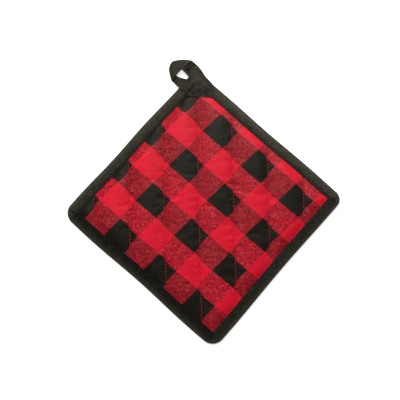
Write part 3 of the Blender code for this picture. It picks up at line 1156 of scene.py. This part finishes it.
def across_tape(left, right, bow, across):
    """A point of the tape's middle surface at a share of the way across it."""
    return left.lerp(right, across) + bow * (4 * across * (1 - across))


def sewn_down(across, travel):
    """How fully the tape is sewn flat, from 0 to 1: at its right edge, near its front end."""
    return ease((across - SEWN_FROM) / (1 - SEWN_FROM)) * (1 - ease(travel / SEWN_TRAVEL))


def off_line(point, start, end):
    """Distance from a point to a straight crease, seen from above."""
    run = end - start
    share = min(max((point - start).dot(run) / run.length_squared, 0.0), 1.0)
    return (point - start - run * share).length


def crumple(point, travel):
    """Relief of the tape's outer face: its creases and the cloth's own unevenness."""
    flat = point.xy
    lift = sum(height * noise.noise(point / length) for height, length in CRUMPLES)
    if travel < CREASED_TRAVEL:
        for _, start_x, start_y, end_x, end_y, height, width in TAPE_CREASES:
            off = off_line(flat, Vector((start_x, start_y)), Vector((end_x, end_y)))
            lift += height * hump(off, width)
    return lift


class POTHOLDER_OT_loop(bpy.types.Operator):
    """Makes the hanging loop: a hemmed black tape folded twice, both ends on the corner."""

    bl_idname = "pot_holder.loop"
    bl_label = "Hanging loop"

    def execute(self, context):
        thickness = context.scene.loop_sizes.tape_thickness / MM
        section = tape_section()
        middle = []
        for station in tape_stations():
            middle.append([across_tape(*station, across) for across, _ in section])
        work = bmesh.new()
        cloth_map = work.loops.layers.uv.new("cloth")
        wear_and_light = work.verts.layers.float.new("wear_and_light")
        shaded = work.verts.layers.float.new("shaded")
        rings = []
        last_row = len(middle) - 1
        last_column = len(section) - 1
        centre = last_column // 2
        travel = [0.0]
        for here, ahead in zip(middle, middle[1:]):
            travel.append(travel[-1] + (ahead[centre] - here[centre]).length)
        for row, points in enumerate(middle):
            front = 1 - ease(travel[row] / SEWN_END)
            back = 1 - ease((travel[-1] - travel[row]) / SEWN_END)
            for column, point in enumerate(points):
                across = section[column][0]
                point.z -= SEWN_DROP * sewn_down(across, travel[row])
                beyond = ease((across - BACK_END_SHARE) / BACK_END_FADE)
                low = SEWN_LEFT + (SEWN_RIGHT - SEWN_LEFT) * beyond
                point.z -= max(0.0, point.z - low) * front
                point.z -= max(0.0, point.z - SEWN_BACK) * back
        for row, points in enumerate(middle):
            over = []
            below = []
            for column, point in enumerate(points):
                along = middle[min(row + 1, last_row)][column] - middle[max(row - 1, 0)][column]
                across = points[min(column + 1, last_column)] - points[max(column - 1, 0)]
                normal = across.cross(along).normalized()
                half = 0.5 * thickness * section[column][1]
                half *= 1 - 0.6 * sewn_down(section[column][0], travel[row])
                half *= 0.5 + 0.5 * ease(min(travel[row], travel[-1] - travel[row]) / SEWN_END)
                lift = crumple(point, travel[row])
                # The arm that lies on top is painted paler as painted light; at its hems partly wear,
                # partly painted sheen.
                from_hem = min(section[column][0], 1 - section[column][0])
                arm_wear_and_light = TOP_ARM_PAINTED_LIGHT + HEM_WEAR_AND_SHEEN * hump(from_hem, HEM_WEAR_AND_SHEEN_SHARE)
                arm_wear_and_light *= hump(travel[row] - TOP_ARM_TRAVEL, TOP_ARM_REACH)
                place = (travel[row], section[column][0] * TAPE_WIDTH)
                for side, skin in ((1, over), (-1, below)):
                    share = half + lift * (section[column][1] if side * normal.z > 0 else 0.0)
                    vert = work.verts.new(point + normal * share * side)
                    vert[wear_and_light] = arm_wear_and_light
                    vert[shaded] = min(1.0, HOLLOW_SHADE * max(0.0, SHADED_BELOW - lift))
                    skin.append((vert, place))
            rings.append(over + below[::-1])

        def wall(*corners):
            quad(work, cloth_map, *zip(*corners))

        count = len(rings[0])
        for ring_here, ring_ahead in zip(rings, rings[1:]):
            for place in range(count):
                after = (place + 1) % count
                wall(ring_here[place], ring_here[after], ring_ahead[after], ring_ahead[place])
        for end_ring in (rings[0], rings[-1]):
            for place in range(last_column):
                opposite = count - 1 - place
                wall(end_ring[place], end_ring[place + 1], end_ring[opposite - 1], end_ring[opposite])
        bmesh.ops.recalc_face_normals(work, faces=work.faces)
        material = tape_finish(context.scene.cloth_colours)
        tape = object_from(work, "loop_tape", material)
        put_on(tape, "hanging_loop")
        return {"FINISHED"}


class POTHOLDER_OT_edge_stitching(bpy.types.Operator):
    """Sews the binding down on both faces with black thread."""

    bl_idname = "pot_holder.edge_stitching"
    bl_label = "Edge stitching"

    def execute(self, context):
        sizes = context.scene.thread_sizes
        binding = Binding(context.scene.loop_sizes)
        points = binding.ring(STITCH_LINE_SHARE)
        path = [binding.top_point(STITCH_LINE_SHARE, station, points)
                for station in range(len(points))]
        places = self.along(path + path[:1], sizes, 1, 0.1)
        under = [Vector((point.x, point.y, 0.14)) for point in path]
        places += self.along(under + under[:1], sizes, -1, 0.0)
        stitch = stitch_shape(sizes.edge_length, sizes.thickness * 0.85, 0.12 * MM)
        material = thread_finish("black_thread", context.scene.cloth_colours.edge_thread)
        thread = sewn("edge_thread", stitch, places, material)
        put_on(thread)
        return {"FINISHED"}

    def along(self, path, sizes, facing, clear):
        """Stitch places at an even pitch along a path."""
        pitch = sizes.edge_pitch / MM
        shown = sizes.edge_length / MM
        places = []
        travel = 0.0
        next_start = 0.5 * pitch
        start = None
        for here, ahead in zip(path, path[1:]):
            step = (ahead - here).length
            while True:
                goal = next_start if start is None else next_start + shown
                if step == 0 or goal > travel + step:
                    break
                point = here.lerp(ahead, (goal - travel) / step)
                point.z += clear * facing
                if start is None:
                    start = point
                else:
                    places.append(stitch_place(start, point, facing))
                    start = None
                    next_start += pitch
            travel += step
        return places


# The stage, in metres; the sensor's width is in millimetres.
FLOOR_SIZE = 8.0
FLOOR_DROP = 0.0003
CAMERA_AIM = (-0.0033, 0.0080, 0.006)
SENSOR_WIDTH = 36.0


class POTHOLDER_OT_stage(bpy.types.Operator):
    """Sets the floor, the soft light and the camera above the pot holder."""

    bl_idname = "pot_holder.stage"
    bl_label = "Stage"

    def execute(self, context):
        settings = context.scene.stage_settings
        deselect_all()
        bpy.ops.mesh.primitive_plane_add(size=FLOOR_SIZE, location=(0.0, 0.0, -FLOOR_DROP))
        bpy.ops.object.transform_apply(location=True, rotation=True, scale=True)
        floor = context.object
        floor.name = "table_top"
        floor.data.materials.append(floor_finish())
        aim = Vector(CAMERA_AIM)
        camera_data = bpy.data.cameras.new("camera")
        camera_data.sensor_width = SENSOR_WIDTH
        camera_data.lens = SENSOR_WIDTH * settings.camera_height / settings.view_width
        camera = bpy.data.objects.new("camera", camera_data)
        context.scene.collection.objects.link(camera)
        camera.location = aim + Vector((0.0, 0.0, settings.camera_height))
        camera.rotation_euler = (0.0, 0.0, settings.camera_turn)
        context.scene.camera = camera
        # Columns: name, direction x, y, z, distance, width of the light, power, lights matt cloth.
        lights = (
            ("key_light", -0.2, 0.66, 0.9, 2.0, 1.0, settings.key_power, True),
            ("gloss_light", 0.16, 0.58, 0.8, 0.45, 0.25, settings.gloss_power, False),
        )
        for name, x, y, z, distance, width, power, on_matt in lights:
            light_data = bpy.data.lights.new(name, "AREA")
            light_data.shape = "DISK"
            light_data.size = width
            light_data.energy = power
            light = bpy.data.objects.new(name, light_data)
            light.visible_diffuse = on_matt
            light.visible_glossy = not on_matt
            context.scene.collection.objects.link(light)
            direction = Vector((x, y, z)).normalized()
            light.location = aim + direction * distance
            light.rotation_euler = direction.to_track_quat("Z", "Y").to_euler()
        world = bpy.data.worlds.new("even_light")
        world.use_nodes = True
        background = world.node_tree.nodes["Background"]
        background.inputs["Color"].default_value = (1.0, 1.0, 1.0, 1.0)
        background.inputs["Strength"].default_value = settings.sky_strength
        context.scene.world = world
        context.scene.view_settings.view_transform = "Standard"
        return {"FINISHED"}


class POTHOLDER_PT_panel(bpy.types.Panel):
    """Lists the pot holder's operators."""

    bl_idname = "POTHOLDER_PT_panel"
    bl_label = "Pot holder"
    bl_space_type = "VIEW_3D"
    bl_region_type = "UI"
    bl_category = "Pot holder"

    def draw(self, context):
        for operator in OPERATORS:
            self.layout.operator(operator.bl_idname)


GROUPS = (
    ("pad_sizes", PadSizes),
    ("thread_sizes", ThreadSizes),
    ("loop_sizes", LoopSizes),
    ("cloth_colours", ClothColours),
    ("stage_settings", StageSettings),
)
OPERATORS = (
    POTHOLDER_OT_pad,
    POTHOLDER_OT_quilting,
    POTHOLDER_OT_binding,
    POTHOLDER_OT_loop,
    POTHOLDER_OT_edge_stitching,
    POTHOLDER_OT_stage,
)


def register():
    for name, group in GROUPS:
        bpy.utils.register_class(group)
        setattr(bpy.types.Scene, name, PointerProperty(type=group))
    for operator in OPERATORS:
        bpy.utils.register_class(operator)
    bpy.utils.register_class(POTHOLDER_PT_panel)


def unregister():
    bpy.utils.unregister_class(POTHOLDER_PT_panel)
    for operator in reversed(OPERATORS):
        bpy.utils.unregister_class(operator)
    for name, group in reversed(GROUPS):
        delattr(bpy.types.Scene, name)
        bpy.utils.unregister_class(group)


def main():
    register()
    bpy.ops.pot_holder.pad()
    bpy.ops.pot_holder.quilting()
    bpy.ops.pot_holder.binding()
    bpy.ops.pot_holder.loop()
    bpy.ops.pot_holder.edge_stitching()
    bpy.ops.pot_holder.stage()


if __name__ == "__main__":
    main()
